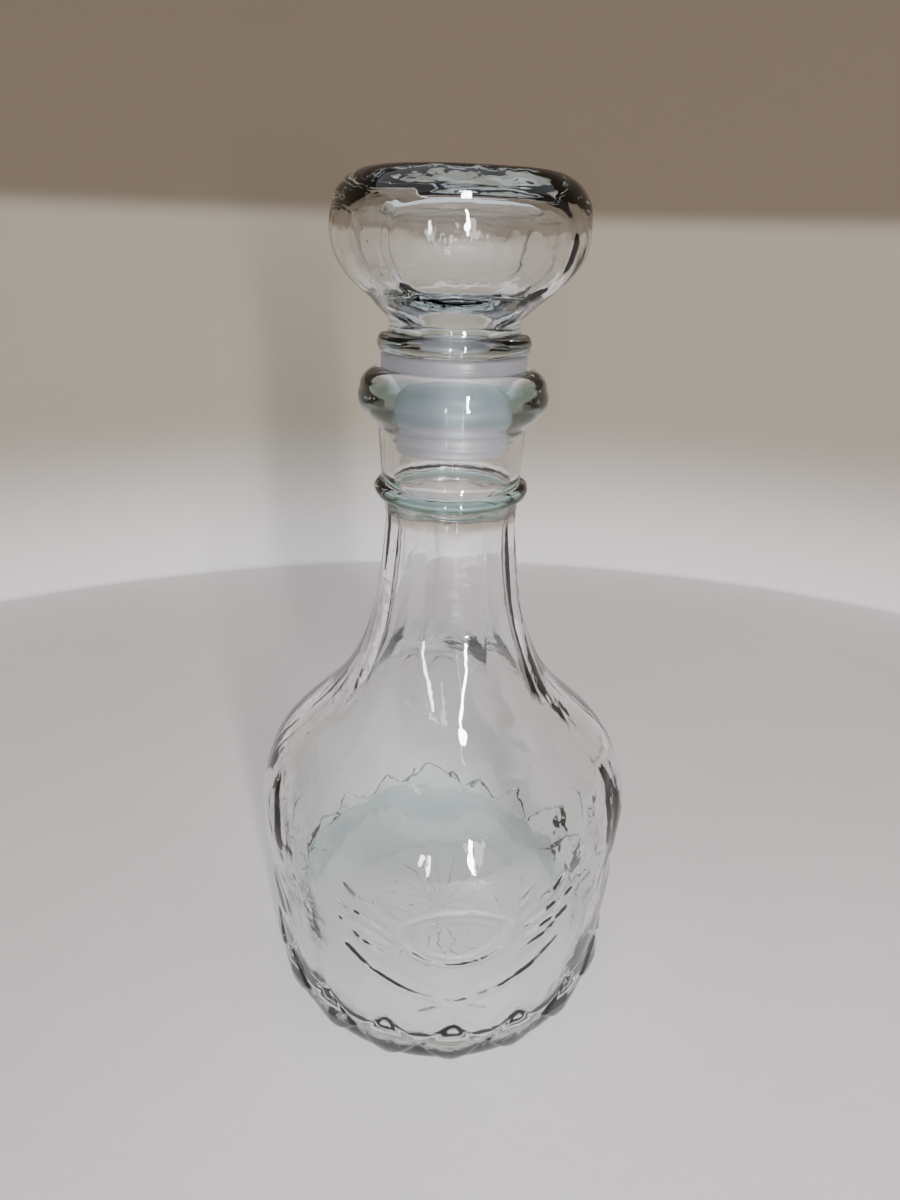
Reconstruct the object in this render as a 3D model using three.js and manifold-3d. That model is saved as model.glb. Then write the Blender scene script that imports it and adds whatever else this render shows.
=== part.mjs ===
// A clear pressed-glass decanter: the bottle, its hollow glass stopper, and the plastic sleeve that
// seals one in the other. Every piece is a body of revolution about z with shallow relief.
// Millimetres, the table at z = 0, the front of the bottle towards -y.
import * as THREE from "three";
import { mergeVertices } from "three/addons/utils/BufferGeometryUtils.js";
import Module from "manifold-3d";

const FLATS = 48; // every outline is turned about z in this many flats
const CHORD = 5.7; // length of one step along a curved stretch of an outline
const QUARTER = Math.PI / 2;

const bottle = {
  height: 193.2, // table to the top of the lip
  wall: 3.6, // glass thickness of the body
  footInner: 39, // the flat ring that the bottle stands on
  footOuter: 48,
  puntHeight: 3, // hollow under the base, at the axis
  heelRadius: 55.1,
  heelHeight: 9.8,
  shoulderRadius: 56.6,
  shoulderHeight: 66, // where the side turns inwards
  shoulderRound: 27.8,
  waistRadius: 18.2, // narrowest part of the neck, under the bead
  waistHeight: 154.5,
  beadHeight: 162.8,
  beadProud: 2.2,
  beadHalfHeight: 2,
  lipFoot: 178.8,
  neckTop: 19, // neck radius under the lip
  lipRadius: 24.1,
  lipHeight: 186.8, // height of the lip's widest line
  lipLand: 18.8, // outer edge of the lip's flat top
  bore: 15.5, // mouth, radius
  mouthBevel: 1.1,
  floor: 8.8, // top of the base glass, at the axis
  innerHeelWidth: 8.2,
  innerHeelHeight: 7.7,
};

// Handles of curves, as shares of the run and the rise that the curve covers.
const flare = { foot: 0.5, lean: 0.14, reach: 0.7 };
const lip = { lean: 0.14, swell: 0.36 };

const seal = {
  flangeRadius: 18.2,
  flangeThickness: 3.3,
  flangeBottom: bottle.height + 0.1, // a hair above the lip
  edge: 0.4, // bevel of the flange's rim
  outer: 14.4,
  inner: 12.9,
  bottom: 173.5,
  fins: 4,
  finRadius: 15.3, // just short of the bore
  finPitch: 4.3,
  firstFin: 1.7, // above the sleeve's lower end
  finThickness: 1.8,
};
seal.flangeTop = seal.flangeBottom + seal.flangeThickness;

const stopper = {
  pegRadius: 12.5,
  pegBottom: 174.3,
  pegBore: 8.9,
  pegBevel: 0.9,
  ringRadius: 19,
  ringBottom: seal.flangeTop + 0.3,
  ringTop: 201.3,
  ringRound: 1.5,
  neckRadius: 16,
  neckHeight: 203.3,
  headRadius: 31.1, // midway between rib and window
  headHeight: 223.3, // height of the widest line
  headRoundWidth: 9.7, // half-axes of the round side of the head
  headRoundHeight: 11.7,
  headUnder: -0.76, // angle at which the round side meets the funnel under it
  dishRadius: 17.5, // the shallow dish in the top
  dishDepth: 1.5,
  dishSlope: 1.6,
  glass: 4.1, // thickness of the head's side
  ceiling: 229.3, // hollow of the head
  hollowFloor: 211.6,
  hollowRound: 7.5,
  squareness: 0.035, // how far the ribs stand out and the windows lie in
  turn: THREE.MathUtils.degToRad(7.5), // the windows' turn from the bottle's front
};
stopper.top = stopper.headHeight + stopper.headRoundHeight;

// Relief on the bottle. Leaves stand side by side round the back and the sides, a tenth of a turn
// apart, and leave a smooth panel in front for the medallion.
const panels = { count: 8, depth: 0.018, low: 95, high: 155.5 };
const diamonds = { count: 18, height: 11.5, halfHeight: 9.3, proud: 1.5, raised: 0.2, gap: 0.35 };
const leaves = { pitch: Math.PI / 5, pairs: 3, height: 68, halfHeight: 16, proud: 0.9, gap: 0.8 };
const leafEdge = { foot: 0.9, footRise: -0.4, crown: 1.6, crownRise: 0.8, steps: 8, sides: 12 };
const medallion = { height: 57, halfWidth: 16.5, halfHeight: 11, proud: 0.9, facets: 20 };

const wasm = await Module();
wasm.setup();

const at = (radius, height) => new THREE.Vector2(radius, height);

// Adds the part of an ellipse between two angles.
function round(path, centre, halfWidth, halfHeight, start, end) {
  path.absellipse(centre.x, centre.y, halfWidth, halfHeight, start, end, end < start);
}

// The points of an outline: straight stretches keep only their ends.
function pointsOf(path) {
  const points = [path.curves[0].getPoint(0)];
  for (const curve of path.curves) {
    const steps = curve.isLineCurve ? 1 : Math.max(3, Math.round(curve.getLength() / CHORD));
    for (const point of curve.getPoints(steps))
      if (point.distanceTo(points.at(-1)) > 1e-6) points.push(point);
  }
  return points;
}

// Turns an outline about z. The outline runs up the outside of the piece and down its inside.
function turned(points) {
  return new THREE.LatheGeometry(points, FLATS).rotateX(QUARTER);
}

// Scales the radius of the first rings of a turned body by a function of angle and height.
function relieved(geometry, rings, outlineLength, scale) {
  const place = geometry.getAttribute("position");
  for (let i = 0; i < place.count; i++) {
    if (i % outlineLength >= rings) continue;
    const angle = Math.atan2(place.getX(i), -place.getY(i));
    const k = scale(angle, place.getZ(i));
    place.setXY(i, place.getX(i) * k, place.getY(i) * k);
  }
  return geometry;
}

// Centre of the shoulder's round, and the point where it has turned 45 degrees inwards.
const hip = at(bottle.shoulderRadius - bottle.shoulderRound, bottle.shoulderHeight);
function slopePoint(radius) {
  return at(hip.x + radius * Math.SQRT1_2, hip.y + radius * Math.SQRT1_2);
}

// Handles of the flare's curve, by the shoulder and by the neck.
function flareHandles(shoulder, neck) {
  const run = shoulder.x - neck.x;
  const rise = neck.y - shoulder.y;
  return [
    at(shoulder.x - run * flare.foot, shoulder.y + run * flare.foot),
    at(neck.x + run * flare.lean, neck.y - rise * flare.reach),
  ];
}

function bottleOutside() {
  const b = bottle;
  const slope = slopePoint(b.shoulderRound);
  const waist = at(b.waistRadius, b.waistHeight);
  const [foot, head] = flareHandles(slope, waist);
  const lipLean = b.neckTop + (b.lipRadius - b.neckTop) * lip.lean;
  const lipSwell = b.lipFoot + (b.lipHeight - b.lipFoot) * lip.swell;
  const path = new THREE.Path();
  path.moveTo(0, b.puntHeight);
  path.quadraticCurveTo(b.footInner * 0.7, b.puntHeight, b.footInner, 0);
  path.lineTo(b.footOuter, 0);
  const heel = at(b.footOuter, b.heelHeight);
  round(path, heel, b.heelRadius - b.footOuter, b.heelHeight, -QUARTER, 0);
  path.lineTo(b.shoulderRadius, b.shoulderHeight);
  round(path, hip, b.shoulderRound, b.shoulderRound, 0, QUARTER / 2);
  path.bezierCurveTo(foot.x, foot.y, head.x, head.y, waist.x, waist.y);
  round(path, at(b.waistRadius, b.beadHeight), b.beadProud, b.beadHalfHeight, -QUARTER, QUARTER);
  path.lineTo(b.neckTop, b.lipFoot);
  path.bezierCurveTo(lipLean, lipSwell, b.lipRadius, lipSwell, b.lipRadius, b.lipHeight);
  const lipTop = at(b.lipLand, b.lipHeight);
  round(path, lipTop, b.lipRadius - b.lipLand, b.height - b.lipHeight, 0, QUARTER);
  return pointsOf(path);
}

function bottleInside() {
  const b = bottle;
  const innerRound = b.shoulderRound - b.wall;
  const slope = slopePoint(innerRound);
  const waist = at(b.bore, b.waistHeight);
  const [foot, head] = flareHandles(slope, waist);
  const side = b.heelRadius - b.wall;
  const path = new THREE.Path();
  path.moveTo(b.bore + b.mouthBevel, b.height);
  path.lineTo(b.bore, b.height - b.mouthBevel);
  path.lineTo(waist.x, waist.y);
  path.bezierCurveTo(head.x, head.y, foot.x, foot.y, slope.x, slope.y);
  round(path, hip, innerRound, innerRound, QUARTER / 2, 0);
  const heel = at(side - b.innerHeelWidth, b.floor + b.innerHeelHeight - 1);
  round(path, heel, b.innerHeelWidth, b.innerHeelHeight, 0, -QUARTER);
  path.lineTo(0, b.floor);
  return pointsOf(path);
}

// The soft flat panels of the neck, which fade out into the shoulder and under the bead.
function panelScale(angle, height) {
  const along = (height - panels.low) / (panels.high - panels.low);
  if (along <= 0 || along >= 1) return 1;
  const fade = Math.sin(Math.PI * along);
  return 1 - panels.depth * fade * (0.5 + 0.5 * Math.cos(panels.count * angle));
}

// Radius of the bottle's outer wall, from the heel up to where the flare of the neck begins.
function wallRadius(height) {
  const b = bottle;
  if (height < b.heelHeight) {
    const drop = (b.heelHeight - height) / b.heelHeight;
    return b.footOuter + (b.heelRadius - b.footOuter) * Math.sqrt(1 - drop * drop);
  }
  if (height < b.shoulderHeight) {
    const rise = (height - b.heelHeight) / (b.shoulderHeight - b.heelHeight);
    return THREE.MathUtils.lerp(b.heelRadius, b.shoulderRadius, rise);
  }
  const turn = Math.asin((height - b.shoulderHeight) / b.shoulderRound);
  return b.shoulderRadius - b.shoulderRound * (1 - Math.cos(turn));
}

// Bends a shape made flat, with x across, y inwards and z up, round the wall at an angle from the
// front.
function wrapped(geometry, angle, height) {
  const place = geometry.getAttribute("position");
  for (let i = 0; i < place.count; i++) {
    const z = place.getZ(i) + height;
    const radius = wallRadius(z);
    const turn = angle + place.getX(i) / radius;
    const reach = radius - place.getY(i);
    place.setXYZ(i, reach * Math.sin(turn), -reach * Math.cos(turn), z);
  }
  return geometry;
}

function heelDiamond(index) {
  const pitch = (2 * Math.PI) / diamonds.count;
  const halfWidth = (wallRadius(diamonds.height) * pitch) / 2 - diamonds.gap;
  const stone = new THREE.OctahedronGeometry(1);
  stone.scale(halfWidth, diamonds.proud, diamonds.halfHeight).translate(0, -diamonds.raised, 0);
  return wrapped(stone, index * pitch, diamonds.height);
}

// A leaf pointed at both ends and broadest near its top, thin at its edge and proud in the middle.
function backLeaf(angle) {
  const halfWidth = (bottle.shoulderRadius * leaves.pitch) / 2 - leaves.gap;
  const edge = new THREE.Path();
  edge.moveTo(0, -leaves.halfHeight);
  edge.bezierCurveTo(
    halfWidth * leafEdge.foot, leaves.halfHeight * leafEdge.footRise,
    halfWidth * leafEdge.crown, leaves.halfHeight * leafEdge.crownRise,
    0, leaves.halfHeight,
  );
  const blade = new THREE.LatheGeometry(edge.getPoints(leafEdge.steps), leafEdge.sides);
  blade.rotateX(QUARTER).scale(1, leaves.proud / halfWidth, 1);
  return wrapped(blade, angle, leaves.height);
}

function frontMedallion() {
  const m = medallion;
  const dome = new THREE.SphereGeometry(1, m.facets, m.facets / 2).rotateX(QUARTER);
  return wrapped(dome.scale(m.halfWidth, m.proud, m.halfHeight), 0, m.height);
}

// A geometry as a closed solid that can be joined.
function solid(geometry) {
  const bare = geometry.clone();
  bare.deleteAttribute("normal");
  bare.deleteAttribute("uv");
  const merged = mergeVertices(bare, 1e-4);
  return new wasm.Manifold(
    new wasm.Mesh({
      numProp: 3,
      vertProperties: new Float32Array(merged.getAttribute("position").array),
      triVerts: new Uint32Array(merged.index.array),
    }),
  );
}

function surface(joined) {
  const { vertProperties, triVerts } = joined.getMesh();
  const geometry = new THREE.BufferGeometry();
  geometry.setAttribute("position", new THREE.BufferAttribute(vertProperties, 3));
  geometry.setIndex(new THREE.BufferAttribute(triVerts, 1));
  geometry.computeVertexNormals();
  return geometry;
}

function bottleGeometry() {
  const outside = bottleOutside();
  const outline = [...outside, ...bottleInside()];
  const body = relieved(turned(outline), outside.length, outline.length, panelScale);
  const relief = [frontMedallion(), backLeaf(Math.PI)];
  for (let i = 1; i <= leaves.pairs; i++) {
    const angle = Math.PI - i * leaves.pitch;
    relief.push(backLeaf(angle), backLeaf(-angle));
  }
  for (let i = 0; i < diamonds.count; i++) relief.push(heelDiamond(i));
  return surface(relief.reduce((whole, piece) => whole.add(solid(piece)), solid(body)));
}

function sealGeometry() {
  const s = seal;
  const outline = [at(s.inner, s.flangeTop), at(s.inner, s.bottom), at(s.outer, s.bottom)];
  for (let i = 0; i < s.fins; i++) {
    const root = s.bottom + s.firstFin + i * s.finPitch;
    outline.push(at(s.outer, root), at(s.finRadius, root + s.finThickness / 2));
    outline.push(at(s.finRadius, root + s.finThickness * 0.8), at(s.outer, root + s.finThickness));
  }
  outline.push(at(s.outer, s.flangeBottom), at(s.flangeRadius - s.edge, s.flangeBottom));
  outline.push(at(s.flangeRadius, s.flangeBottom + s.edge));
  outline.push(at(s.flangeRadius, s.flangeTop - s.edge));
  outline.push(at(s.flangeRadius - s.edge, s.flangeTop), at(s.inner, s.flangeTop));
  return turned(outline);
}

// From the middle of the hollow's ceiling down to the open end of the peg.
function stopperInside() {
  const s = stopper;
  const side = s.headRadius - s.glass;
  const path = new THREE.Path();
  path.moveTo(0, s.ceiling);
  path.lineTo(side - s.hollowRound, s.ceiling);
  path.quadraticCurveTo(side, s.ceiling, side, s.headHeight);
  path.quadraticCurveTo(side, s.hollowFloor + 4, side - s.hollowRound, s.hollowFloor);
  path.quadraticCurveTo(s.pegBore + 1, s.hollowFloor - 2, s.pegBore, s.neckHeight);
  path.lineTo(s.pegBore, s.pegBottom);
  return pointsOf(path);
}

// From the peg's end up over the ring, the neck and the head to the middle of the dish.
function stopperOutside() {
  const s = stopper;
  const ringHalf = (s.ringTop - s.ringBottom) / 2;
  const ringCentre = at(s.ringRadius - s.ringRound, s.ringBottom + ringHalf);
  const head = at(s.headRadius - s.headRoundWidth, s.headHeight);
  const under = at(
    head.x + s.headRoundWidth * Math.cos(s.headUnder),
    head.y + s.headRoundHeight * Math.sin(s.headUnder),
  );
  const rise = under.y - s.neckHeight;
  const dishFloor = s.top - s.dishDepth;
  const path = new THREE.Path();
  path.moveTo(s.pegRadius - s.pegBevel, s.pegBottom);
  path.lineTo(s.pegRadius, s.pegBottom + s.pegBevel);
  path.lineTo(s.pegRadius, s.ringBottom);
  round(path, ringCentre, s.ringRound, ringHalf, -QUARTER, QUARTER);
  path.lineTo(s.neckRadius, s.neckHeight);
  path.bezierCurveTo(
    s.neckRadius, s.neckHeight + rise * 0.28,
    under.x - rise * 0.23, s.neckHeight + rise * 0.62,
    under.x, under.y,
  );
  round(path, head, s.headRoundWidth, s.headRoundHeight, s.headUnder, QUARTER);
  path.quadraticCurveTo(s.dishRadius + s.dishSlope, dishFloor, s.dishRadius, dishFloor);
  path.lineTo(0, dishFloor);
  return pointsOf(path);
}

// Four wide windows with a rib between each two: the plan of the head is a soft square.
function headScale(angle, height) {
  const s = stopper;
  const fade = THREE.MathUtils.smoothstep(height, s.neckHeight + 1, s.headHeight - 4);
  return 1 - s.squareness * fade * Math.cos(4 * (angle - s.turn));
}

function stopperGeometry() {
  const outline = [...stopperInside(), ...stopperOutside()];
  return relieved(turned(outline), outline.length, outline.length, headScale);
}

function clearGlass(tint) {
  return new THREE.MeshStandardMaterial({
    color: tint,
    roughness: 0.04,
    metalness: 0,
    transparent: true,
    opacity: 0.35,
  });
}

const milkyPlastic = new THREE.MeshStandardMaterial({
  color: 0xd9d8e2,
  roughness: 0.35,
  metalness: 0,
});

const decanter = new THREE.Group();
function addPiece(name, geometry, material) {
  const mesh = new THREE.Mesh(geometry, material);
  mesh.name = name;
  decanter.add(mesh);
}
addPiece("bottle", bottleGeometry(), clearGlass(0xd7e8e4));
addPiece("seal_sleeve", sealGeometry(), milkyPlastic);
addPiece("stopper", stopperGeometry(), clearGlass(0xdfe9ec));

export default decanter;
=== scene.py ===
"""A pressed-glass decanter with its hollow glass stopper and the plastic sleeve that seals it."""

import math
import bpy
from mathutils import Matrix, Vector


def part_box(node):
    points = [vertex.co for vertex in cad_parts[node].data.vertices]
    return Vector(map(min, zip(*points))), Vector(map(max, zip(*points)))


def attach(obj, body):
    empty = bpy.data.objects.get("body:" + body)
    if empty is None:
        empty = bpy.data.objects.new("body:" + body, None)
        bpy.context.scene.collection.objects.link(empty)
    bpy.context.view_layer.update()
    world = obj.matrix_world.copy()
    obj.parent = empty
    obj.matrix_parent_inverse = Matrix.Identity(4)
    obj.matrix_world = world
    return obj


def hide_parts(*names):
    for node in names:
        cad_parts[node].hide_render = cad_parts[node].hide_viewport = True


bl_info = {
    "name": "Pressed-glass decanter",
    "version": (1, 0, 0),
    "blender": (4, 5, 0),
    "location": "3D View > Sidebar > Decanter",
    "description": "Builds a pressed-glass decanter, its seal and its stopper on the packed model",
    "category": "Object",
}

import bpy
import numpy as np
from bpy.props import FloatProperty, FloatVectorProperty, IntProperty, PointerProperty
from mathutils import Matrix, Vector

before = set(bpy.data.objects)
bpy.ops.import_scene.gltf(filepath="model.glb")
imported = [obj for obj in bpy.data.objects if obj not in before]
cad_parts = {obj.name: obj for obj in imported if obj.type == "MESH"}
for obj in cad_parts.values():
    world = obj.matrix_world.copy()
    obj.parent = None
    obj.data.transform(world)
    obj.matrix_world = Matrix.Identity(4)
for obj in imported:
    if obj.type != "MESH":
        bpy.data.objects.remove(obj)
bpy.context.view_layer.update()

MM = 0.001
QUARTER = math.pi / 2
FLATS = 324  # every outline is turned about the vertical in this many steps
JOIN = 1e-6  # points closer than this are one
CLEARANCE = 0.1 * MM  # between the foot and the floor, so that they never share a face


# ---------------------------------------------------------------- settings


def length(name, millimetres, description):
    """A size that the user can change."""
    return FloatProperty(
        name=name, description=description, default=millimetres * MM, min=0.0, unit="LENGTH", precision=4
    )


def angle(name, degrees, description):
    return FloatProperty(
        name=name, description=description, default=math.radians(degrees), subtype="ANGLE"
    )


def share(name, amount, description):
    return FloatProperty(
        name=name, description=description, default=amount, min=0.0, max=1.0, subtype="FACTOR"
    )


def colour(name, red, green, blue, description):
    return FloatVectorProperty(
        name=name, description=description, default=(red, green, blue), min=0.0, max=1.0, size=3,
        subtype="COLOR",
    )


class BottleSizes(bpy.types.PropertyGroup):
    height: length("Height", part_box("bottle")[1].z / MM, "Table to the top of the lip")
    wall: length("Wall", 3.6, "Glass thickness of the body")
    foot_inner: length("Foot inside", 39, "Inner radius of the ring that the bottle stands on")
    foot_outer: length("Foot outside", 48, "Outer radius of the ring that the bottle stands on")
    punt: length("Punt", 3, "Depth of the hollow under the base")
    heel_radius: length("Heel radius", 55.1, "Radius just above the rounded heel")
    heel_height: length("Heel height", 9.8, "Height of the rounded heel")
    shoulder_radius: length("Shoulder radius", 56.6, "Radius where the side turns inwards")
    shoulder_height: length("Shoulder height", 66, "Height at which the side turns inwards")
    shoulder_round: length("Shoulder round", 27.8, "Radius of the shoulder's rounding")
    waist_radius: length("Waist radius", 18.2, "Radius of the neck under the bead")
    waist_height: length("Waist height", 154.5, "Height of the narrowest part of the neck")
    bead_height: length("Bead height", 162.8, "Height of the bead round the neck")
    bead_proud: length("Bead proud", 2.2, "How far the bead stands out")
    bead_half: length("Bead half height", 2, "Half of the bead's height")
    neck_top: length("Neck top", 19, "Radius of the neck under the lip")
    lip_foot: length("Lip foot", 178.8, "Height at which the lip starts")
    lip_radius: length("Lip radius", 24.1, "Largest radius of the lip")
    lip_height: length("Lip height", 186.8, "Height of the lip's widest line")
    lip_land: length("Lip land", 18.8, "Outer radius of the lip's flat top")
    bore: length("Bore", 15.5, "Radius of the mouth")
    floor: length("Floor", 8.8, "Height of the base glass at the middle")
    ripple: length("Ripple", 0.5, "How wavy the blown inner wall is")


class ReliefSizes(bpy.types.PropertyGroup):
    panels: IntProperty(name="Neck panels", description="Soft flats round the neck", default=8, min=3)
    panel_depth: length("Panel depth", 1.0, "How far the neck's panels lie in")
    leaf_pitch: angle("Leaf pitch", 36, "Turn from one leaf to the next")
    leaf_proud: length("Leaf proud", 0.62, "How far the leaves stand out")
    front: angle("Front panel", 54, "Half of the smooth panel in front")
    diamonds: IntProperty(name="Diamonds", description="Diamonds round the heel", default=18, min=6)
    diamond_proud: length("Diamond proud", 1.5, "How far the diamonds' points stand out")
    ornament_proud: length("Ornament proud", 0.46, "How far the medallion and the sprays stand out")


class SealSizes(bpy.types.PropertyGroup):
    flange_radius: length("Flange radius", 18.2, "Radius of the flange on the lip")
    flange_bottom: length("Flange bottom", 193.3, "Height of the flange's underside")
    flange_top: length("Flange top", 196.6, "Height of the flange's top")
    outer: length("Outer radius", 14.4, "Outer radius of the sleeve")
    inner: length("Inner radius", 12.9, "Inner radius of the sleeve")
    bottom: length("Bottom", 173.5, "Height of the sleeve's lower end")
    fins: IntProperty(name="Fins", description="Sealing fins round the sleeve", default=4, min=1)
    fin_radius: length("Fin radius", 15.3, "Radius of the fins")
    fin_pitch: length("Fin pitch", 4.3, "Height from one fin to the next")


class StopperSizes(bpy.types.PropertyGroup):
    peg_radius: length("Peg radius", 12.5, "Outer radius of the peg")
    peg_bottom: length("Peg bottom", 174.3, "Height of the peg's open end")
    peg_bore: length("Peg bore", 8.9, "Inner radius of the peg")
    ring_radius: length("Ring radius", 19, "Radius of the ring that rests on the seal")
    ring_bottom: length("Ring bottom", 196.9, "Height of the ring's underside")
    ring_top: length("Ring top", 201.3, "Height of the ring's top")
    neck_radius: length("Neck radius", 16, "Radius of the waist under the head")
    neck_height: length("Neck height", 203.3, "Height of the waist under the head")
    head_radius: length("Head radius", 31.1, "Radius midway between rib and window")
    head_height: length("Head height", 223.3, "Height of the head's widest line")
    round_width: length("Round width", 9.7, "Half width of the head's rounding")
    round_height: length("Round height", 11.7, "Half height of the head's rounding")
    dish_radius: length("Dish radius", 17.5, "Radius of the dish in the top")
    dish_depth: length("Dish depth", 1.5, "Depth of the dish in the top")
    glass: length("Glass", 4.1, "Thickness of the head's side")
    ceiling: length("Ceiling", 229.3, "Height of the hollow's ceiling")
    hollow_floor: length("Hollow floor", 211.6, "Height of the hollow's floor")
    squareness: share("Squareness", 0.035, "How far the ribs stand out and the windows lie in")
    turn: angle("Turn", 7.5, "Turn of the windows from the bottle's front")
    window_depth: length("Window depth", 0.55, "How far the windows' faces lie behind the ribs")


class Finishes(bpy.types.PropertyGroup):
    glass_index: FloatProperty(name="Glass index", description="Refractive index", default=1.52, min=1.0)
    glass_tint: colour("Glass tint", 0.5, 0.57, 0.6, "Colour that thick glass takes")
    glass_depth: FloatProperty(
        name="Tint strength", description="How fast glass takes its tint, per metre", default=19.0, min=0.0
    )
    edge_tint: colour("Edge tint", 0.17, 0.42, 0.41, "Colour that shows in the bead, the lip and the heel")
    stopper_tint: colour("Stopper tint", 0.5, 0.68, 0.76, "Colour that the stopper's thick glass takes")
    plastic: colour("Plastic", 0.62, 0.6, 0.66, "Colour of the milky seal")
    floor: colour("Floor", 0.59, 0.56, 0.572, "Colour of the floor")
    wall: colour("Wall", 0.235, 0.205, 0.166, "Colour of the backdrop")
    # painted shadow: the dark colour that the back of the backdrop takes above a level, in place of the
    # shade cast there
    wall_painted_shadow: colour("Wall top", 0.1, 0.074, 0.05, "Colour of the backdrop's upper part")


class StageSizes(bpy.types.PropertyGroup):
    floor_radius: length("Floor radius", 620, "Radius of the round sweep")
    backdrop: length("Backdrop", 339, "Distance from the middle to the backdrop behind")
    cove: length("Cove", 5, "Rounding between floor and backdrop")
    wall_height: length("Wall height", 800, "Height of the backdrop")
    # lower edge of the painted shadow on the back of the backdrop
    band: length("Band", 240, "Height at which the backdrop turns darker")
    camera_distance: length("Camera distance", 187, "From the middle to the camera, level")
    camera_height: length("Camera height", 219.1, "Table to the camera")
    camera_side: length("Camera side", 0.6, "How far the view passes beside the middle")
    camera_turn: angle("Camera turn", 4.8, "Turn of the camera to the left of the front")
    camera_pitch: angle("Camera pitch", 25.8, "How far the camera looks down")
    camera_roll: angle("Camera roll", 1.57, "How far the camera is tilted")
    lens: FloatProperty(name="Lens", description="Focal length in millimetres", default=21.6, min=1.0)


# ---------------------------------------------------------------- outlines


def straight(line, end, steps=1):
    """Continues a line of (radius, height) points to an end."""
    start = line[-1]
    for i in range(1, steps + 1):
        t = i / steps
        line.append((start[0] + (end[0] - start[0]) * t, start[1] + (end[1] - start[1]) * t))


def curved(line, handles, end, steps):
    """Continues a line with a Bezier curve of one or two handles."""
    knots = [line[-1], *handles, end]
    order = len(knots) - 1
    for i in range(1, steps + 1):
        t = i / steps
        weights = [math.comb(order, k) * t**k * (1 - t) ** (order - k) for k in range(order + 1)]
        line.append(tuple(sum(w * knot[axis] for w, knot in zip(weights, knots)) for axis in (0, 1)))


def rounded(line, centre, half_width, half_height, start, end, steps):
    """Continues a line with part of an ellipse, from one angle to another."""
    first = (centre[0] + half_width * math.cos(start), centre[1] + half_height * math.sin(start))
    if math.dist(first, line[-1]) > JOIN:
        line.append(first)
    for i in range(1, steps + 1):
        turn = start + (end - start) * i / steps
        line.append((centre[0] + half_width * math.cos(turn), centre[1] + half_height * math.sin(turn)))


def slope_point(b, radius):
    """The point at which a shoulder of this rounding has turned by 45 degrees."""
    reach = radius * math.sqrt(0.5)
    return (b.shoulder_radius - b.shoulder_round + reach, b.shoulder_height + reach)


def flare_handles(shoulder, neck):
    run = shoulder[0] - neck[0]
    rise = neck[1] - shoulder[1]
    return [
        (shoulder[0] - run * 0.5, shoulder[1] + run * 0.5),
        (neck[0] + run * 0.14, neck[1] - rise * 0.7),
    ]


def wall_radius(b, height):
    """Radius of the bottle's outer wall from the table up to the shoulder."""
    if height < b.heel_height:
        drop = (b.heel_height - height) / b.heel_height
        return b.foot_outer + (b.heel_radius - b.foot_outer) * math.sqrt(max(0.0, 1 - drop * drop))
    rise = (height - b.heel_height) / (b.shoulder_height - b.heel_height)
    return b.heel_radius + (b.shoulder_radius - b.heel_radius) * rise


DIAMOND_LOW = 1.8 * MM
DIAMOND_HIGH = 22.2 * MM
DIAMOND_ROWS = 20


def bottle_outside(b):
    line = [(0.0, b.punt)]
    curved(line, [(b.foot_inner * 0.7, b.punt)], (b.foot_inner, 0.0), 7)
    straight(line, (b.foot_outer, 0.0), 2)
    for share_up in (0.06, 0.25, 0.55):
        line.append((wall_radius(b, DIAMOND_LOW * share_up), DIAMOND_LOW * share_up))
    for row in range(DIAMOND_ROWS + 1):
        height = DIAMOND_LOW + (DIAMOND_HIGH - DIAMOND_LOW) * row / DIAMOND_ROWS
        line.append((wall_radius(b, height), height))
    straight(line, (b.shoulder_radius, b.shoulder_height), 37)
    hip = (b.shoulder_radius - b.shoulder_round, b.shoulder_height)
    rounded(line, hip, b.shoulder_round, b.shoulder_round, 0, QUARTER / 2, 17)
    slope = slope_point(b, b.shoulder_round)
    waist = (b.waist_radius, b.waist_height)
    curved(line, flare_handles(slope, waist), waist, 24)
    rounded(line, (b.waist_radius, b.bead_height), b.bead_proud, b.bead_half, -QUARTER, QUARTER, 12)
    straight(line, (b.neck_top, b.lip_foot), 5)
    swell = b.lip_foot + (b.lip_height - b.lip_foot) * 0.36
    lean = b.neck_top + (b.lip_radius - b.neck_top) * 0.14
    curved(line, [(lean, swell), (b.lip_radius, swell)], (b.lip_radius, b.lip_height), 9)
    land = (b.lip_land, b.lip_height)
    rounded(line, land, b.lip_radius - b.lip_land, b.height - b.lip_height, 0, QUARTER, 9)
    return line


def bottle_inside(b):
    bevel = 1.1 * MM
    inner_round = b.shoulder_round - b.wall
    heel_width = 8.2 * MM
    heel_rise = 7.7 * MM
    line = [(b.bore + bevel, b.height)]
    curved(line, [(b.bore, b.height)], (b.bore, b.height - bevel), 3)
    waist = (b.bore, b.waist_height)
    straight(line, waist, 4)
    slope = slope_point(b, inner_round)
    near, far = flare_handles(slope, waist)
    curved(line, [far, near], slope, 12)
    hip = (b.shoulder_radius - b.shoulder_round, b.shoulder_height)
    rounded(line, hip, inner_round, inner_round, QUARTER / 2, 0, 7)
    side = b.heel_radius - b.wall
    heel = (side - heel_width, b.floor + heel_rise - 1 * MM)
    straight(line, (side, heel[1]), 6)
    rounded(line, heel, heel_width, heel_rise, 0, -QUARTER, 7)
    straight(line, (0.0, b.floor), 8)
    return line


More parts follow.
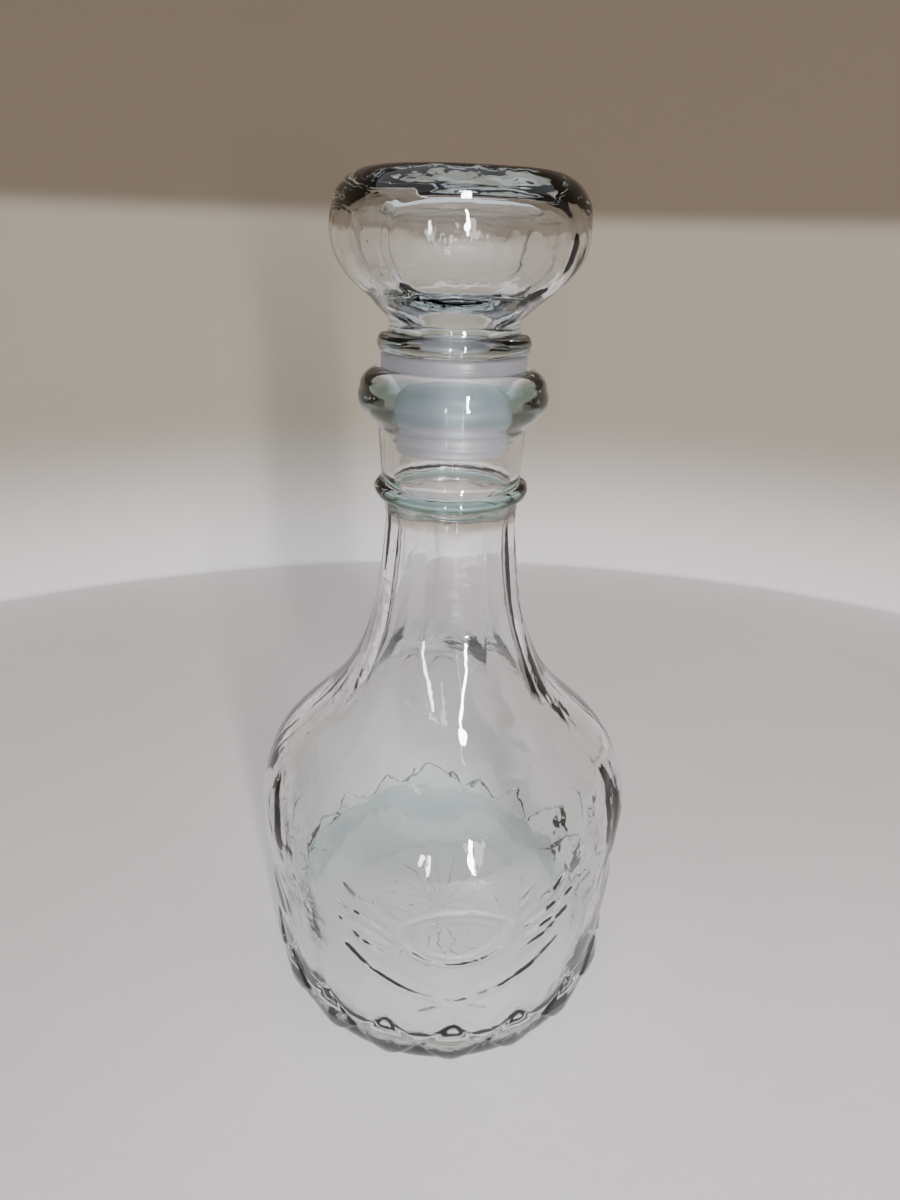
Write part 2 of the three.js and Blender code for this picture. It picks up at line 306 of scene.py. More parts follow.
def seal_outline(s):
    edge = 0.4 * MM
    fin = 1.8 * MM
    line = [(s.inner, s.flange_top)]
    straight(line, (s.inner, s.bottom), 6)
    straight(line, (s.outer - edge, s.bottom))
    straight(line, (s.outer, s.bottom + edge))
    for i in range(s.fins):
        root = s.bottom + 1.7 * MM + i * s.fin_pitch
        straight(line, (s.outer, root), 2)
        curved(line, [(s.fin_radius, root + fin * 0.3)], (s.fin_radius, root + fin * 0.65), 4)
        curved(line, [(s.fin_radius, root + fin * 0.9)], (s.outer, root + fin), 3)
    straight(line, (s.outer, s.flange_bottom), 2)
    straight(line, (s.flange_radius - edge, s.flange_bottom), 2)
    rounded(line, (s.flange_radius - edge, s.flange_bottom + edge), edge, edge, -QUARTER, 0, 3)
    rounded(line, (s.flange_radius - edge, s.flange_top - edge), edge, edge, 0, QUARTER, 3)
    straight(line, (s.inner + 2 * edge, s.flange_top), 3)
    straight(line, (s.inner, s.flange_top))
    return line[:-1]


def stopper_outline(s):
    """From the middle of the hollow's ceiling down the inside, and up the outside to the dish."""
    side = s.head_radius - s.glass
    hollow_round = 7.5 * MM
    bevel = 0.9 * MM
    line = [(0.0, s.ceiling)]
    straight(line, (side - hollow_round, s.ceiling), 5)
    curved(line, [(side, s.ceiling)], (side, s.head_height), 9)
    curved(line, [(side, s.hollow_floor + 4 * MM)], (side - hollow_round, s.hollow_floor), 10)
    curved(line, [(s.peg_bore + 1 * MM, s.hollow_floor - 2 * MM)], (s.peg_bore, s.neck_height), 8)
    straight(line, (s.peg_bore, s.peg_bottom), 9)
    straight(line, (s.peg_radius - bevel, s.peg_bottom), 2)
    curved(line, [(s.peg_radius, s.peg_bottom)], (s.peg_radius, s.peg_bottom + bevel), 3)
    straight(line, (s.peg_radius, s.ring_bottom), 8)
    ring_round = 1.5 * MM
    ring_half = (s.ring_top - s.ring_bottom) / 2
    ring = (s.ring_radius - ring_round, s.ring_bottom + ring_half)
    straight(line, (ring[0], s.ring_bottom), 3)
    rounded(line, ring, ring_round, ring_half, -QUARTER, QUARTER, 12)
    straight(line, (s.neck_radius + 0.3 * MM, s.ring_top + 0.2 * MM), 1)
    curved(line, [(s.neck_radius, s.ring_top + 0.4 * MM)], (s.neck_radius, s.neck_height), 3)
    head = (s.head_radius - s.round_width, s.head_height)
    under_turn = -0.76
    under = (
        head[0] + s.round_width * math.cos(under_turn),
        head[1] + s.round_height * math.sin(under_turn),
    )
    rise = under[1] - s.neck_height
    handles = [
        (s.neck_radius, s.neck_height + rise * 0.28),
        (under[0] - rise * 0.23, s.neck_height + rise * 0.62),
    ]
    curved(line, handles, under, 16)
    rounded(line, head, s.round_width, s.round_height, under_turn, QUARTER, 34)
    top = s.head_height + s.round_height
    dish = (s.dish_radius, top - s.dish_depth)
    curved(line, [(s.dish_radius + 1.6 * MM, dish[1])], dish, 6)
    straight(line, (0.0, dish[1]), 6)
    return line


# ---------------------------------------------------------------- modelling


def turned(name, line, flats, closed=False):
    """A piece turned from an outline: a point is drawn out along the outline, which is then spun."""
    bpy.ops.object.select_all(action="DESELECT")
    bpy.ops.mesh.primitive_plane_add(size=MM, location=(0, 0, 0))
    piece = bpy.context.active_object
    piece.name = name
    piece.data.name = name
    bpy.ops.object.mode_set(mode="EDIT")
    bpy.ops.mesh.select_mode(type="VERT")
    bpy.ops.mesh.select_all(action="SELECT")
    bpy.ops.mesh.merge(type="CENTER")
    here = Vector((0, -line[0][0], line[0][1]))
    bpy.ops.transform.translate(value=here)
    stretch = line[1:] + line[:1] if closed else line[1:]
    for radius, height in stretch:
        there = Vector((0, -radius, height))
        bpy.ops.mesh.extrude_region_move(TRANSFORM_OT_translate={"value": there - here})
        here = there
    bpy.ops.mesh.select_all(action="SELECT")
    bpy.ops.mesh.remove_doubles(threshold=JOIN)
    bpy.ops.mesh.select_all(action="SELECT")
    bpy.ops.mesh.spin(
        steps=flats, angle=2 * math.pi, center=(0, 0, 0), axis=(0, 0, 1), use_auto_merge=True
    )
    bpy.ops.mesh.select_all(action="SELECT")
    bpy.ops.mesh.remove_doubles(threshold=JOIN)
    bpy.ops.mesh.normals_make_consistent(inside=False)
    bpy.ops.object.mode_set(mode="OBJECT")
    bpy.ops.object.shade_smooth()
    return piece


def places(piece):
    """Every point of a piece as turn from the front, height and distance from the middle."""
    spots = np.zeros(len(piece.data.vertices) * 3)
    piece.data.vertices.foreach_get("co", spots)
    spots = spots.reshape(-1, 3)
    return np.arctan2(spots[:, 0], -spots[:, 1]), spots[:, 2], np.hypot(spots[:, 0], spots[:, 1])


def refined(piece, chosen, cuts):
    """Splits the faces whose points are all chosen."""
    bpy.ops.object.mode_set(mode="EDIT")
    bpy.ops.mesh.select_all(action="DESELECT")
    bpy.ops.mesh.select_mode(type="FACE")
    bpy.ops.object.mode_set(mode="OBJECT")
    for face in piece.data.polygons:
        face.select = all(chosen[v] for v in face.vertices)
    bpy.ops.object.mode_set(mode="EDIT")
    bpy.ops.mesh.subdivide(number_cuts=cuts, smoothness=0)
    bpy.ops.object.mode_set(mode="OBJECT")


def pushed(piece, name, weights, distance, texture=None, direction="NORMAL"):
    """Moves the surface out by a distance times each point's weight, or in where it is negative."""
    group = piece.vertex_groups.new(name=name)
    for i in np.flatnonzero(weights > 1e-4):
        group.add([int(i)], float(min(1.0, weights[i])), "REPLACE")
    bpy.ops.object.select_all(action="DESELECT")
    piece.select_set(True)
    bpy.context.view_layer.objects.active = piece
    relief = piece.modifiers.new(name, "DISPLACE")
    relief.direction = direction
    relief.vertex_group = name
    relief.strength = distance
    relief.mid_level = 0.0
    if texture:
        relief.texture = texture
        relief.texture_coords = "LOCAL"
        relief.mid_level = 0.5
    bpy.ops.object.modifier_apply(modifier=name)
    piece.vertex_groups.remove(piece.vertex_groups[name])


def swollen(piece, swell):
    """Moves every point away from the middle, level with the table, by its own distance."""
    turn, _, _ = places(piece)
    for axis, along in (("X", swell * np.sin(turn)), ("Y", -swell * np.cos(turn))):
        for hand in (-1, 1):
            part = np.clip(along * hand, 0, None)
            reach = float(part.max())
            pushed(piece, f"swell_{axis}", part / reach, hand * reach, direction=axis)


def soft_waves(name, size):
    """The slow waves that blowing and pressing leave in glass."""
    waves = bpy.data.textures.new(name, "CLOUDS")
    waves.noise_scale = size
    waves.noise_depth = 1
    waves.noise_basis = "BLENDER_ORIGINAL"
    return waves


def smooth(low, high, amount):
    t = np.clip((amount - low) / (high - low), 0, 1)
    return t * t * (3 - 2 * t)


def around(turn, middle):
    """Turn from a middle, from minus to plus half a circle."""
    return (turn - middle + math.pi) % (2 * math.pi) - math.pi


# ---------------------------------------------------------------- relief of the bottle


def panel_weights(b, r, turn, height, outer):
    """Eight soft flats that fade out into the shoulder and under the bead."""
    low = 93 * MM
    high = b.bead_height - b.bead_half
    fade = smooth(low, low + 34 * MM, height) * (1 - smooth(high - 3 * MM, high, height))
    across = np.abs(around(turn * r.panels, 0)) / math.pi
    return outer * fade * (1 - across**2)


def leaf_shape(across, up):
    """Height of a leaf at a share of its half width and of its height: a sharp edge and a mid rib."""
    widest = 0.36
    below = np.sqrt(np.clip(1 - ((widest - up) / widest) ** 2, 0, 1))
    above = np.clip(1 - ((up - widest) / (1 - widest)) ** 1.9, 0, 1)
    half = np.where(up < widest, below, above)
    inside = np.clip(1 - np.abs(across) / np.maximum(half, 1e-3), 0, 1)
    ends = smooth(0, 0.1, up) * (1 - smooth(0.8, 1, up))
    return smooth(0, 0.3, inside) * ends * (0.6 + 0.4 * inside)


def leaf_weights(r, turn, height, outer):
    """Two rows of leaves round the back and the sides."""
    index = np.round(around(turn, math.pi) / r.leaf_pitch)
    across = (around(turn, math.pi) - index * r.leaf_pitch) / (r.leaf_pitch / 2)
    within = outer * (np.abs(around(turn, 0)) > r.front)
    tall = leaf_shape(across / 0.93, (height - 52.5 * MM) / (31 * MM))
    small = leaf_shape(across / 0.62, (height - 27 * MM) / (17 * MM))
    between = (np.abs(across) - 1) / 0.4
    filler = leaf_shape(between, (height - 38 * MM) / (17 * MM)) * (np.abs(around(turn, 0)) > r.front * 1.2)
    return within * np.maximum(np.maximum(tall, small * 0.8), filler * 0.7)


def diamond_weights(r, turn, height, outer):
    """Pyramids side by side round the heel."""
    half = math.pi / r.diamonds
    across = np.abs(around(turn * r.diamonds, 0)) / (half * r.diamonds)
    middle = (DIAMOND_LOW + DIAMOND_HIGH) / 2
    up = np.abs(height - middle) / ((DIAMOND_HIGH - DIAMOND_LOW) / 2)
    inside = np.clip(1 - across - up, 0, 1)
    return outer * (0.35 * smooth(0, 0.11, inside) + 0.65 * inside)


def stroke(side, height, start, end, width, swell=0.0):
    """Height of a soft raised stroke between two points, in millimetres, fatter in the middle by swell."""
    run = np.array(end) - np.array(start)
    along = ((side - start[0]) * run[0] + (height - start[1]) * run[1]) / float(run @ run)
    along = np.clip(along, 0, 1)
    away = np.hypot(side - start[0] - run[0] * along, height - start[1] - run[1] * along)
    half = width * (1 + swell * np.sin(math.pi * along))
    return np.clip(1 - (away / half) ** 2, 0, 1) ** 1.5


MEDALLION_HEIGHT = 57  # of its middle, in millimetres like the two next
MEDALLION_HALF_WIDTH = 16.5
MEDALLION_HALF_HEIGHT = 11
STEM_HALF_WIDTH = 1.7
SPRAY_HALF_WIDTH = 1.2
SPRAY_SWELL = 0.8  # how much fatter a spray leaf is in its middle
# Starts and ends on the front, in millimetres from the middle and from the table.
STEMS = [
    ((0, 31), (-14, 35.5)), ((-14, 35.5), (-24, 40.5)), ((-24, 40.5), (-31, 46.5)),
    ((0, 31), (14, 35.5)), ((14, 35.5), (24, 40.5)), ((24, 40.5), (31, 46.5)),
    ((0, 31), (-9.5, 26.6)), ((0, 31), (9.5, 26.6)),
]
SPRAY_LEAVES = [
    ((18.5, 48), (25.5, 51)), ((19.2, 52.5), (27.5, 56)), ((19.2, 57), (28, 61.5)),
    ((18.2, 61.2), (26.5, 67)), ((16.2, 65), (21.5, 71.5)), ((27.5, 52), (33, 56.5)),
    ((29, 58.5), (34, 63.8)), ((26.5, 64.5), (31, 70)),
]


def ornament_weights(b, turn, height, outer):
    """A blank oval medallion over two crossed stems, with a spray of leaves on each side."""
    side = turn * b.shoulder_radius / MM
    up = height / MM
    across = side / MEDALLION_HALF_WIDTH
    oval = np.hypot(across, (up - MEDALLION_HEIGHT) / MEDALLION_HALF_HEIGHT)
    rim = np.clip(1 - ((oval - 0.9) / 0.1) ** 2, 0, 1) ** 1.5
    inner_rim = 0.5 * np.clip(1 - ((oval - 0.66) / 0.09) ** 2, 0, 1) ** 1.5
    dome = 0.35 * smooth(0, 0.55, 0.6 - oval)
    raised = np.maximum(np.maximum(rim, inner_rim), dome)
    for start, end in STEMS:
        raised = np.maximum(raised, stroke(side, up, start, end, STEM_HALF_WIDTH) * 0.9)
    for start, end in SPRAY_LEAVES:
        for hand in (-1, 1):
            leaf = stroke(side * hand, up, start, end, SPRAY_HALF_WIDTH, SPRAY_SWELL)
            raised = np.maximum(raised, leaf * 0.85)
    return outer * raised * (np.abs(turn) < math.radians(40))


def seam_weights(b, turn, height, outer):
    """The two fine lines at which the halves of the mould met."""
    step = 2 * math.pi / FLATS
    near = np.abs(np.abs(turn) - QUARTER) < step * 0.4
    return outer * near * smooth(20 * MM, 26 * MM, height) * (height < b.lip_foot)


FRONT_TURN = math.radians(38)  # the finer mesh under the ornament: half its turn, and its heights
FRONT_LOW = 24 * MM
FRONT_HIGH = 74 * MM
LIP_LINE_HEIGHT = 188.7 * MM
LIP_LINE_HALF = 0.8 * MM
LIP_LINE_DEPTH = 0.35 * MM
SEAM_PROUD = 0.16 * MM
SWIRL_PITCH = 5 * MM
SWIRL_PROUD = 0.6 * MM
INSIDE_RIPPLE = 3.2  # the waves' heights, as multiples of the bottle's ripple
OUTSIDE_RIPPLE = 0.9


def sided(piece, outside, inside):
    """Turn, height and radius of each point, and 1 where it lies on the outside and 0 on the inside."""
    turn, height, radius = places(piece)
    gaps = [
        np.min(np.hypot(shell[None, :, 0] - radius[:, None], shell[None, :, 1] - height[:, None]), axis=1)
        for shell in (np.array(outside), np.array(inside))
    ]
    return turn, height, radius, (gaps[0] < gaps[1]).astype(float)


def make_bottle(b, r):
    outside = bottle_outside(b)
    inside = bottle_inside(b)
    bottle = turned("bottle_glass_body", outside + inside, FLATS)
    turn, height, radius, outer = sided(bottle, outside, inside)
    refined(bottle, (outer > 0) & (height > DIAMOND_LOW - JOIN) & (height < DIAMOND_HIGH + JOIN), 1)
    turn, height, radius, outer = sided(bottle, outside, inside)
    front = (outer > 0) & (np.abs(turn) < FRONT_TURN) & (height > FRONT_LOW) & (height < FRONT_HIGH)
    refined(bottle, front, 1)
    turn, height, radius, outer = sided(bottle, outside, inside)
    waves = soft_waves("blown_waves", 0.021)
    ripples = soft_waves("pressed_ripples", 0.009)
    fade = smooth(12 * MM, 22 * MM, height) * (1 - smooth(160 * MM, 170 * MM, height))
    pushed(bottle, "panels", panel_weights(b, r, turn, height, outer), -r.panel_depth)
    pushed(bottle, "leaves", leaf_weights(r, turn, height, outer), r.leaf_proud)
    pushed(bottle, "diamonds", diamond_weights(r, turn, height, outer), r.diamond_proud)
    pushed(bottle, "ornament", ornament_weights(b, turn, height, outer), r.ornament_proud)
    groove = outer * np.exp(-(((height - LIP_LINE_HEIGHT) / LIP_LINE_HALF) ** 2)) * (radius > b.lip_land)
    pushed(bottle, "lip_line", groove, -LIP_LINE_DEPTH)
    pushed(bottle, "seams", seam_weights(b, turn, height, outer), SEAM_PROUD)
    swirl = (1 - outer) * (height < 10 * MM) * (0.5 - 0.5 * np.cos(radius / SWIRL_PITCH))
    pushed(bottle, "swirl", swirl * (1 - smooth(36 * MM, 43 * MM, radius)), SWIRL_PROUD)
    pushed(bottle, "blown", (1 - outer) * fade, INSIDE_RIPPLE * b.ripple, waves)
    pushed(bottle, "pressed", outer * fade * 0.5, OUTSIDE_RIPPLE * b.ripple, ripples)
    return bottle


def head_swell(piece, s):
    """How far each point moves to make the round head a soft square with its windows in the sides."""
    turn, height, radius = places(piece)
    fade = smooth(s.neck_height + 1 * MM, s.head_height - 4 * MM, height)
    return -s.squareness * fade * np.cos(4 * (turn - s.turn)) * radius


def window_weights(s, turn, height, outer):
    """Four windows with rounded corners, and narrow ribs between them that draw in downwards."""
    across = np.abs(around((turn - s.turn) * 4, 0)) / math.pi
    up = (height - 218.6 * MM) / (11.4 * MM)
    corner = (across / 0.9) ** 4 + np.abs(up) ** 3.2
    return outer * (1 - smooth(0.66, 1.0, corner))


def make_stopper(s):
    line = stopper_outline(s)
    stopper = turned("stopper_glass_body", line, FLATS)
    lowest = min(range(len(line)), key=lambda place: line[place][1])
    turn, height, _, outer = sided(stopper, line[lowest + 1 :], line[:lowest])
    swollen(stopper, head_swell(stopper, s))
    pushed(stopper, "windows", window_weights(s, turn, height, outer), -s.window_depth)
    waves = soft_waves("stopper_waves", 0.016)
    head = smooth(s.neck_height, s.neck_height + 6 * MM, height)
    pushed(stopper, "pressed", head * (1 - 0.7 * outer), 0.4 * MM, waves)
    return stopper


# ---------------------------------------------------------------- materials


class Term:
    """A socket of a material, which can be added, multiplied and so on like a number."""

    def __init__(self, look, socket):
        self.look = look
        self.socket = socket

    def _with(self, operation, *values):
        return self.look.node("ShaderNodeMath", {"operation": operation}, dict(enumerate(values)))

    def __add__(self, other):
        return self._with("ADD", self, other)

    __radd__ = __add__

    def __rsub__(self, other):
        return self._with("SUBTRACT", other, self)

    def __mul__(self, other):
        return self._with("MULTIPLY", self, other)

    __rmul__ = __mul__

    def __pow__(self, other):
        return self._with("POWER", self, other)


class Look:
    """A material under construction."""

    def __init__(self, name):
        self.material = bpy.data.materials.new(name)
        self.material.use_nodes = True
        self.tree = self.material.node_tree
        self.tree.nodes.clear()

    def node(self, kind, settings=None, sockets=None, output=0):
        """Adds a node, with its settings first and then its sockets, and gives one of its outputs."""
        node = self.tree.nodes.new(kind)
        for key, value in (settings or {}).items():
            if key == "stops":
                self._set_stops(node.color_ramp, value)
            else:
                setattr(node, key, value)
        for key, value in (sockets or {}).items():
            socket = node.inputs[key]
            if isinstance(value, Term):
                self.tree.links.new(value.socket, socket)
            else:
                socket.default_value = value
        return Term(self, node.outputs[output]) if node.outputs else node

    @staticmethod
    def _set_stops(ramp, stops):
        while len(ramp.elements) < len(stops):
            ramp.elements.new(1.0)
        for element, (position, shade) in zip(ramp.elements, stops):
            element.position = position
            element.color = shade

    def own_place(self):
        return self.node("ShaderNodeTexCoord", output="Object")

    def noise(self, scale, detail=2.0, roughness=0.5, stretch=(1, 1, 1)):
        spot = self.node("ShaderNodeMapping", None, {"Vector": self.own_place(), "Scale": stretch})
        sockets = {"Vector": spot, "Scale": scale, "Detail": detail, "Roughness": roughness}
        return self.node("ShaderNodeTexNoise", None, sockets)

    def ramp(self, amount, *stops):
        shades = [(position, (*shade, 1.0)) for position, shade in stops]
        return self.node("ShaderNodeValToRGB", {"stops": shades}, {"Fac": amount})

    def step(self, amount, start, end):
        """0 below a start and 1 above an end."""
        sockets = {"Value": amount, "From Min": start, "From Max": end}
        return self.node("ShaderNodeMapRange", {"interpolation_type": "SMOOTHSTEP"}, sockets)

    def band(self, height, low, high, soft=1.2 * MM):
        """1 between two heights."""
        above = self.step(height, low - soft, low + soft)
        return above * (1.0 - self.step(height, high - soft, high + soft))

    def bump(self, height, distance, under=None):
        sockets = {"Height": height, "Distance": distance}
        if under:
            sockets["Normal"] = under
        return self.node("ShaderNodeBump", None, sockets)

    def finish(self, surface, volume=None):
        sockets = {"Surface": surface}
        if volume:
            sockets["Volume"] = volume
        self.node("ShaderNodeOutputMaterial", None, sockets)
        return self.material


SHADOW_TONE = (0.84, 0.87, 0.865, 1.0)  # light that the glass lets through to its shadow
SHADOW_PASS = 0.9


def clear_glass(name, finishes, tint, wrinkle, bands):
    """Pressed soda glass: clear, tinted where it is thick, with soft skin ripples and faint smears."""
    look = Look(name)
    height = look.node("ShaderNodeSeparateXYZ", None, {0: look.own_place()}, output="Z")
    flat = look.node(
        "ShaderNodeVectorMath", {"operation": "MULTIPLY"}, {0: look.own_place(), 1: (1.0, 1.0, 0.0)}
    )
    radius = look.node("ShaderNodeVectorMath", {"operation": "LENGTH"}, {0: flat}, output="Value")
    heavy = sum(
        look.band(height, low, high) * look.step(radius, start, start + 3 * MM) * strength
        for low, high, start, strength in bands
    )
    tone = look.node(
        "ShaderNodeMix",
        {"data_type": "RGBA"},
        {"Factor": heavy, 6: (1.0, 1.0, 1.0, 1.0), 7: (*finishes.edge_tint, 1.0)},
        output=2,
    )
    orange_peel = look.noise(420.0, 1.0, 0.4)
    drag = look.noise(95.0, 2.0, 0.5, (1.0, 1.0, 0.22))
    smear = look.noise(60.0, 3.0, 0.6)
    seeds = look.node(
        "ShaderNodeTexVoronoi", {"feature": "F1"}, {"Vector": look.own_place(), "Scale": 190.0}
    )
    skin = look.bump(orange_peel, 0.00003 * wrinkle)
    skin = look.bump(drag, 0.00022 * wrinkle, under=skin)
    skin = look.bump(look.ramp(seeds, (0.0, (1, 1, 1)), (0.06, (0, 0, 0))), 0.00005, under=skin)
    glass = look.node(
        "ShaderNodeBsdfPrincipled",
        None,
        {
            "Base Color": tone,
            "Transmission Weight": 1.0,
            "IOR": finishes.glass_index,
            "Roughness": 0.03 * smear ** 2.0,
            "Normal": skin,
        },
    )
    passing = look.node("ShaderNodeBsdfTransparent", None, {"Color": SHADOW_TONE})
    lamp = look.node("ShaderNodeLightPath", output="Is Shadow Ray")
    surface = look.node("ShaderNodeMixShader", None, {0: lamp * SHADOW_PASS, 1: glass, 2: passing})
    depth = look.node(
        "ShaderNodeVolumeAbsorption", None, {"Color": (*tint, 1.0), "Density": finishes.glass_depth}
    )
    return look.finish(surface, depth)


def milky_plastic(finishes):
    """Soft translucent plastic with fine turning lines and a little haze."""
    look = Look("milky_plastic")
    lines = look.noise(60.0, 2.0, 0.6, (0.3, 0.3, 30.0))
    haze = look.noise(140.0, 3.0, 0.6)
    tone = look.ramp(
        haze,
        (0.3, tuple(c * 0.94 for c in finishes.plastic)),
        (0.7, tuple(min(1.0, c * 1.05) for c in finishes.plastic)),
    )
    surface = look.node(
        "ShaderNodeBsdfPrincipled",
        None,
        {
            "Base Color": tone,
            "Transmission Weight": 0.86,
            "IOR": 1.4,
            "Roughness": 0.24 + 0.12 * haze,
            "Normal": look.bump(lines, 0.00012),
        },
    )
    return look.finish(surface)


def painted_floor(finishes):
    """Pale paint, a little mottled."""
    look = Look("pale_floor")
    mottle = look.noise(5.0, 5.0, 0.6)
    grain = look.noise(160.0, 3.0, 0.6)
    base = finishes.floor
    tone = look.ramp(
        mottle, (0.3, tuple(c * 0.94 for c in base)), (0.7, tuple(min(1.0, c * 1.03) for c in base))
    )
    surface = look.node(
        "ShaderNodeBsdfPrincipled",
        None,
        {"Base Color": tone, "Roughness": 0.55 + 0.15 * grain, "Normal": look.bump(grain, 0.0001)},
    )
    return look.finish(surface)


def painted_wall(finishes, band):
    """The backdrop's paint, with a painted shadow that makes its back darker above a level."""
    look = Look("backdrop_paint_and_shadow")
    height = look.node("ShaderNodeSeparateXYZ", None, {0: look.own_place()}, output="Z")
    soft = 0.008
    behind = look.node("ShaderNodeSeparateXYZ", None, {0: look.own_place()}, output="Y")
    # painted shadow: above the band, and only on the back, the wall takes the dark shadow colour
    above = look.step(height, band - soft, band + soft) * look.step(behind, -0.25, 0.05)
    from_floor = look.step(height, 0.002, 0.12)
    low = look.node(
        "ShaderNodeMix",
        {"data_type": "RGBA"},
        {"Factor": from_floor, 6: (*finishes.floor, 1.0), 7: (*finishes.wall, 1.0)},
        output=2,
    )
    tone = look.node(
        "ShaderNodeMix", {"data_type": "RGBA"}, {"Factor": above, 6: low, 7: (*finishes.wall_painted_shadow, 1.0)},
        output=2,
    )
    surface = look.node("ShaderNodeBsdfPrincipled", None, {"Base Color": tone, "Roughness": 0.8})
    return look.finish(surface)


def dress(piece, material):
    piece.data.materials.clear()
    piece.data.materials.append(material)


# ---------------------------------------------------------------- stage


def make_camera(g):
    side = Vector((math.cos(g.camera_turn), -math.sin(g.camera_turn), 0))
    out = Vector((-math.sin(g.camera_turn), -math.cos(g.camera_turn), 0))
    place = out * g.camera_distance + side * g.camera_side + Vector((0, 0, g.camera_height))
    forward = -out * math.cos(g.camera_pitch) - Vector((0, 0, math.sin(g.camera_pitch)))
    upright = side.cross(forward)
    right = side * math.cos(g.camera_roll) + upright * math.sin(g.camera_roll)
    up = upright * math.cos(g.camera_roll) - side * math.sin(g.camera_roll)
    bpy.ops.object.camera_add(location=place)
    camera = bpy.context.active_object
    camera.name = "camera"
    turn = Matrix((right, up, -forward)).transposed().to_4x4()
    camera.matrix_world = Matrix.Translation(place) @ turn
    camera.data.lens = g.lens
    camera.data.clip_start = 0.01
    bpy.context.scene.camera = camera


def soft_light(name, place, target, width, height, power, tint):
    bpy.ops.object.light_add(type="AREA", location=place)
    lamp = bpy.context.active_object
    lamp.name = name
    lamp.data.shape = "RECTANGLE"
    lamp.data.size = width
    lamp.data.size_y = height
    lamp.data.energy = power
    lamp.data.color = tint
    lamp.visible_camera = False
    lamp.rotation_euler = (Vector(target) - Vector(place)).to_track_quat("-Z", "Y").to_euler()


def stage_outline(g):
    line = [(0.0, -CLEARANCE)]
    straight(line, (g.floor_radius - g.cove, -CLEARANCE), 4)
    rounded(line, (g.floor_radius - g.cove, g.cove - CLEARANCE), g.cove, g.cove, -QUARTER, 0, 8)
    straight(line, (g.floor_radius + 0.02, g.wall_height), 6)
    return line


# Name, place, target, width, height, power and tint of each light.
LIGHTS = (
    ("strip_right", (0.165, -0.72, 0.34), (0, 0, 0.12), 0.032, 0.54, 12.5, (1.0, 0.99, 0.965)),
    ("strip_left", (-0.165, -0.72, 0.24), (0, 0, 0.12), 0.03, 0.28, 1.8, (1.0, 1.0, 1.0)),
    ("room", (0, -0.69, 0.42), (0, 0, 0.15), 0.88, 0.7, 0.75, (0.93, 0.97, 1.0)),
)
SKY_TONE = (0.85, 0.86, 0.9, 1.0)
SKY_STRENGTH = 1.05


def make_stage(g, finishes):
    sweep = turned("studio_sweep", stage_outline(g), 96)
    bpy.ops.object.mode_set(mode="EDIT")
    bpy.ops.mesh.select_all(action="SELECT")
    bpy.ops.transform.translate(value=(0, g.backdrop - g.floor_radius, 0))
    bpy.ops.mesh.flip_normals()
    bpy.ops.object.mode_set(mode="OBJECT")
    sweep.data.materials.append(painted_floor(finishes))
    sweep.data.materials.append(painted_wall(finishes, g.band))
    for face in sweep.data.polygons:
        face.material_index = 1 if face.center.z > 1e-4 else 0
    for light in LIGHTS:
        soft_light(*light)
    world = bpy.data.worlds.new("studio")
    world.use_nodes = True
    sky = world.node_tree.nodes["Background"].inputs
    sky["Color"].default_value = SKY_TONE
    sky["Strength"].default_value = SKY_STRENGTH
    bpy.context.scene.world = world


# ---------------------------------------------------------------- add-on


class DECANTER_OT_stage(bpy.types.Operator):
    """Sets the camera, the pale sweep and the soft lights"""

    bl_idname = "decanter.stage"
    bl_label = "Stage"

    def execute(self, context):
        scene = context.scene
        make_camera(scene.decanter_stage)
        make_stage(scene.decanter_stage, scene.decanter_finishes)
        return {"FINISHED"}


class DECANTER_OT_bottle(bpy.types.Operator):
    """Makes the glass bottle with its relief"""

    bl_idname = "decanter.bottle"
    bl_label = "Bottle"

    def execute(self, context):
        scene = context.scene
        finishes = scene.decanter_finishes
        bottle = make_bottle(scene.decanter_bottle, scene.decanter_relief)
        b = scene.decanter_bottle
        bands = (
            (-10 * MM, 10 * MM, b.foot_outer, 0.5),
            (b.bead_height - b.bead_half, b.bead_height + b.bead_half, b.waist_radius - 2 * MM, 1.0),
            (b.lip_foot + 4 * MM, b.height - 1 * MM, b.lip_land, 0.7),
        )
        dress(bottle, clear_glass("bottle_glass", finishes, finishes.glass_tint, 1.0, bands))
        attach(bottle, "decanter")
        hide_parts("bottle")
        return {"FINISHED"}


class DECANTER_OT_seal(bpy.types.Operator):
    """Makes the plastic sleeve that seals the stopper in the neck"""

    bl_idname = "decanter.seal"
    bl_label = "Seal"

    def execute(self, context):
        scene = context.scene
        seal = turned("seal_sleeve_body", seal_outline(scene.decanter_seal), 180, closed=True)
        dress(seal, milky_plastic(scene.decanter_finishes))
        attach(seal, "seal")
        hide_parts("seal_sleeve")
        return {"FINISHED"}


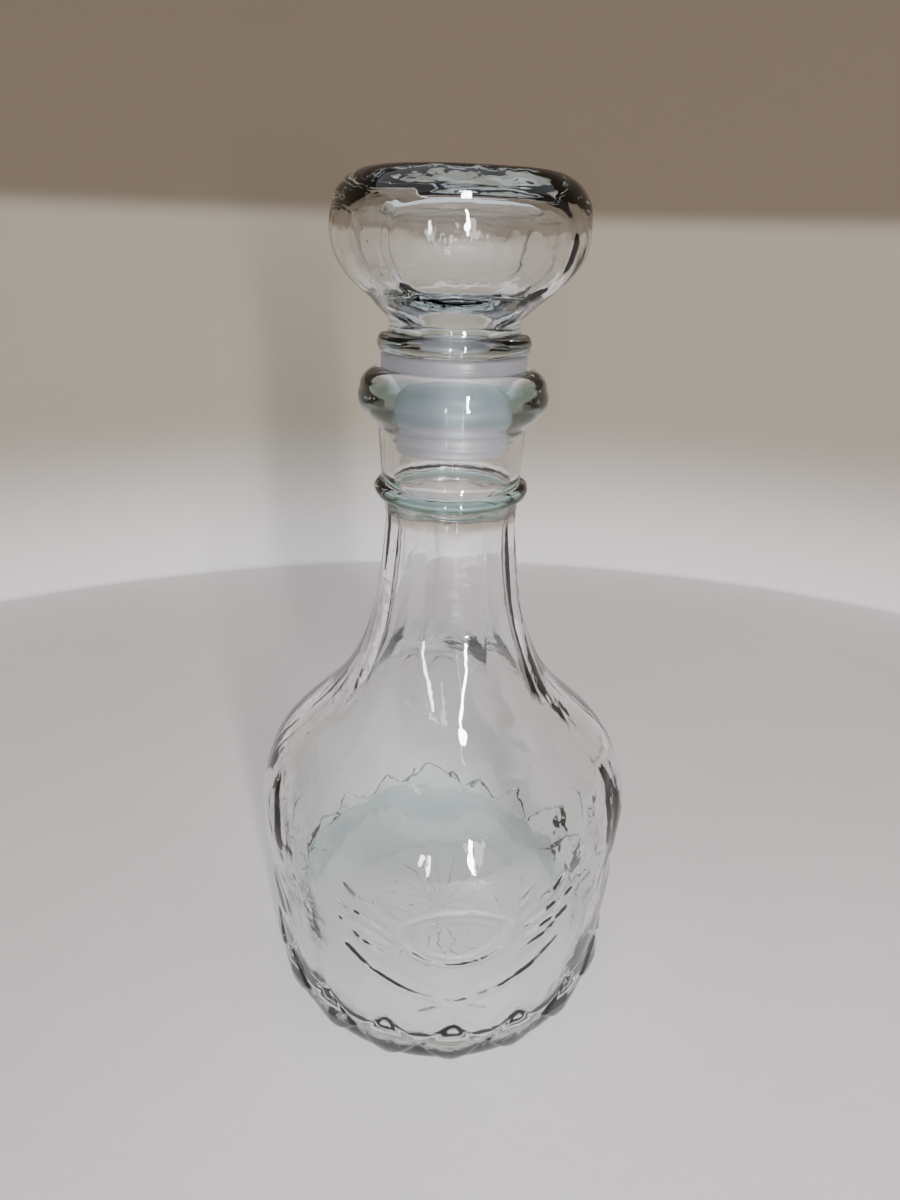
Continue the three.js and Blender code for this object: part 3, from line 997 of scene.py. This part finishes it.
class DECANTER_OT_stopper(bpy.types.Operator):
    """Makes the hollow glass stopper with its four windows"""

    bl_idname = "decanter.stopper"
    bl_label = "Stopper"

    def execute(self, context):
        scene = context.scene
        finishes = scene.decanter_finishes
        stopper = make_stopper(scene.decanter_stopper)
        s = scene.decanter_stopper
        bands = ((s.ring_bottom, s.ring_top, s.peg_radius, 0.12),)
        dress(stopper, clear_glass("stopper_glass", finishes, finishes.stopper_tint, 1.8, bands))
        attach(stopper, "stopper")
        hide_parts("stopper")
        return {"FINISHED"}


class DECANTER_PT_panel(bpy.types.Panel):
    """Lists the decanter's sizes, finishes and pieces"""

    bl_idname = "DECANTER_PT_panel"
    bl_label = "Decanter"
    bl_space_type = "VIEW_3D"
    bl_region_type = "UI"
    bl_category = "Decanter"

    def draw(self, context):
        layout = self.layout
        for operator, groups in STEPS:
            box = layout.box()
            box.operator(operator.bl_idname)
            for group in groups:
                settings = getattr(context.scene, group)
                for name in type(settings).__annotations__:
                    box.prop(settings, name)


STEPS = (
    (DECANTER_OT_stage, ("decanter_stage", "decanter_finishes")),
    (DECANTER_OT_bottle, ("decanter_bottle", "decanter_relief")),
    (DECANTER_OT_seal, ("decanter_seal",)),
    (DECANTER_OT_stopper, ("decanter_stopper",)),
)
SETTINGS = {
    "decanter_stage": StageSizes,
    "decanter_bottle": BottleSizes,
    "decanter_relief": ReliefSizes,
    "decanter_seal": SealSizes,
    "decanter_stopper": StopperSizes,
    "decanter_finishes": Finishes,
}
CLASSES = (*SETTINGS.values(), *(operator for operator, _ in STEPS), DECANTER_PT_panel)


def register():
    for cls in CLASSES:
        bpy.utils.register_class(cls)
    for name, group in SETTINGS.items():
        setattr(bpy.types.Scene, name, PointerProperty(type=group))


def unregister():
    for name in SETTINGS:
        delattr(bpy.types.Scene, name)
    for cls in reversed(CLASSES):
        bpy.utils.unregister_class(cls)


def main():
    register()
    bpy.ops.decanter.stage()
    bpy.ops.decanter.bottle()
    bpy.ops.decanter.seal()
    bpy.ops.decanter.stopper()


if __name__ == "__main__":
    main()
